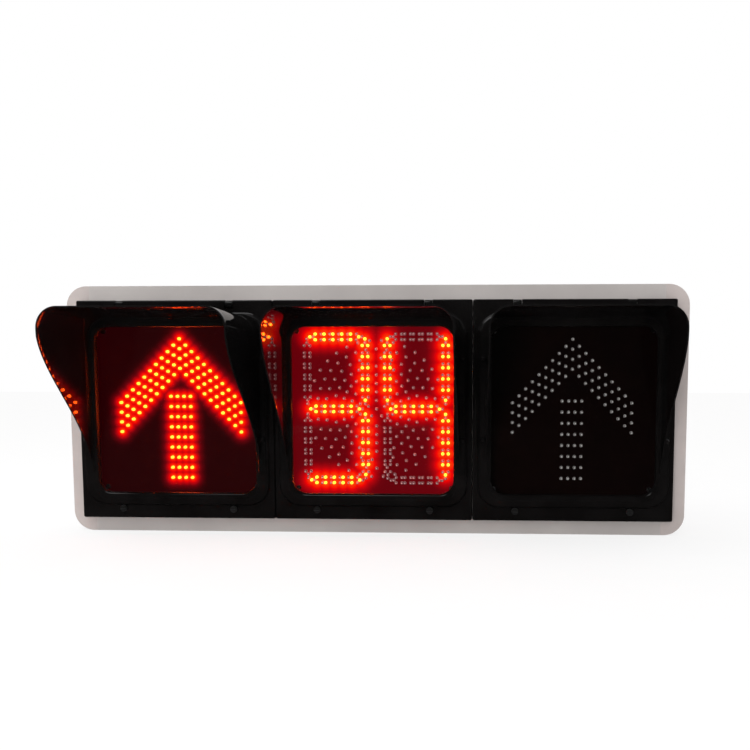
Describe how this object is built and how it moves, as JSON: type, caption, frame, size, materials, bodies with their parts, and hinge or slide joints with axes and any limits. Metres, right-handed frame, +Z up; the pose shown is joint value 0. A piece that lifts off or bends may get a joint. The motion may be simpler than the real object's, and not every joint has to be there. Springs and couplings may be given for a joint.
{
  "type": "traffic signal head",
  "caption": "Horizontal LED lane-signal head with hinged doors: straight arrows either side of a countdown display, cutaway visors, rear mounting brackets.",
  "frame": {"origin": "centre of the four rear fixing holes, on the plane where the brackets meet the mast arm", "axes": "+X to the right as seen from the front, +Y towards the mast, +Z up; the lamps face -Y"},
  "size_m": [1.096, 0.3678, 0.438],
  "materials": {
    "extrusion": "satin silver, faint extrusion lines",
    "cap_paint": "light grey paint on a casting",
    "door_black": "moulded black, glossy",
    "visor_black": "glossy black sheet",
    "lens_clear": "flat, clear, glossy",
    "seal_rubber": "matt",
    "seal_foam": "closed-cell foam",
    "retainer_black": "matt",
    "latch_black": "satin black",
    "hinge_black": "black paint",
    "board_black": "black solder mask",
    "board_green": "green solder mask",
    "component_black": "moulded parts",
    "led_red_on": "lit epoxy lamp",
    "led_clear": "water-clear epoxy, unlit",
    "driver_case": "ribbed case",
    "terminal_plastic": "ivory",
    "gland_nylon": "black nylon",
    "wire_sheath": "PVC sheath",
    "brass": "plain",
    "zinc": "zinc plated",
    "stainless": "stainless",
    "galvanised": "hot-dip galvanised"
  },
  "bodies": {
    "housing": {"housing_shell": "extrusion", "end_cap_left": "cap_paint", "end_cap_right": "cap_paint", "end_cap_screws": "zinc", "mullions": "extrusion", "hinge_lugs": "hinge_black", "hinge_pins": "stainless", "latch_receptacles": "zinc", "rear_bracket_left": "galvanised", "rear_bracket_right": "galvanised", "bracket_bolts": "zinc", "bracket_nuts": "zinc", "led_board_left": "board_black", "led_board_middle": "board_black", "led_board_right": "board_black", "board_standoffs": "brass", "board_screws": "stainless", "arrow_leds_left": "led_red_on", "arrow_leds_right": "led_clear", "digit_leds_lit": "led_red_on", "digit_leds_dark": "led_clear", "ball_leds": "led_clear", "driver_left": "driver_case", "driver_right": "driver_case", "controller_board": "board_green", "controller_parts": "component_black", "terminal_block": "terminal_plastic", "cable_gland": "gland_nylon", "gland_locknut": "gland_nylon", "earth_stud": "brass", "wiring_loom": "wire_sheath"},
    "door_left": {"door_left": "door_black", "lens_left": "lens_clear", "lens_gasket_left": "seal_rubber", "lens_retainer_left": "retainer_black", "door_gasket_left": "seal_foam", "visor_left": "visor_black", "visor_screws_left": "stainless"},
    "door_middle": {"door_middle": "door_black", "lens_middle": "lens_clear", "lens_gasket_middle": "seal_rubber", "lens_retainer_middle": "retainer_black", "door_gasket_middle": "seal_foam", "visor_middle": "visor_black", "visor_screws_middle": "stainless"},
    "door_right": {"door_right": "door_black", "lens_right": "lens_clear", "lens_gasket_right": "seal_rubber", "lens_retainer_right": "retainer_black", "door_gasket_right": "seal_foam", "visor_right": "visor_black", "visor_screws_right": "stainless"},
    "latch_left_a": {"latch_left_a": "latch_black"},
    "latch_left_b": {"latch_left_b": "latch_black"},
    "latch_middle_a": {"latch_middle_a": "latch_black"},
    "latch_middle_b": {"latch_middle_b": "latch_black"},
    "latch_right_a": {"latch_right_a": "latch_black"},
    "latch_right_b": {"latch_right_b": "latch_black"}
  },
  "joints": [
    {"name": "door_left_hinge", "type": "hinge", "parent": "housing", "child": "door_left", "pos_m": [-0.35, -0.1628, 0.186], "axis": [-1, 0, 0], "range_deg": [0, 95]},
    {"name": "door_middle_hinge", "type": "hinge", "parent": "housing", "child": "door_middle", "pos_m": [0, -0.1628, 0.186], "axis": [-1, 0, 0], "range_deg": [0, 95]},
    {"name": "door_right_hinge", "type": "hinge", "parent": "housing", "child": "door_right", "pos_m": [0.35, -0.1628, 0.186], "axis": [-1, 0, 0], "range_deg": [0, 95]},
    {"name": "latch_left_a_turn", "type": "hinge", "parent": "door_left", "child": "latch_left_a", "pos_m": [-0.45, -0.1698, -0.176], "axis": [0, 1, 0], "range_deg": [0, 90]},
    {"name": "latch_left_b_turn", "type": "hinge", "parent": "door_left", "child": "latch_left_b", "pos_m": [-0.25, -0.1698, -0.176], "axis": [0, 1, 0], "range_deg": [0, 90]},
    {"name": "latch_middle_a_turn", "type": "hinge", "parent": "door_middle", "child": "latch_middle_a", "pos_m": [-0.1, -0.1698, -0.176], "axis": [0, 1, 0], "range_deg": [0, 90]},
    {"name": "latch_middle_b_turn", "type": "hinge", "parent": "door_middle", "child": "latch_middle_b", "pos_m": [0.1, -0.1698, -0.176], "axis": [0, 1, 0], "range_deg": [0, 90]},
    {"name": "latch_right_a_turn", "type": "hinge", "parent": "door_right", "child": "latch_right_a", "pos_m": [0.25, -0.1698, -0.176], "axis": [0, 1, 0], "range_deg": [0, 90]},
    {"name": "latch_right_b_turn", "type": "hinge", "parent": "door_right", "child": "latch_right_b", "pos_m": [0.45, -0.1698, -0.176], "axis": [0, 1, 0], "range_deg": [0, 90]}
  ]
}
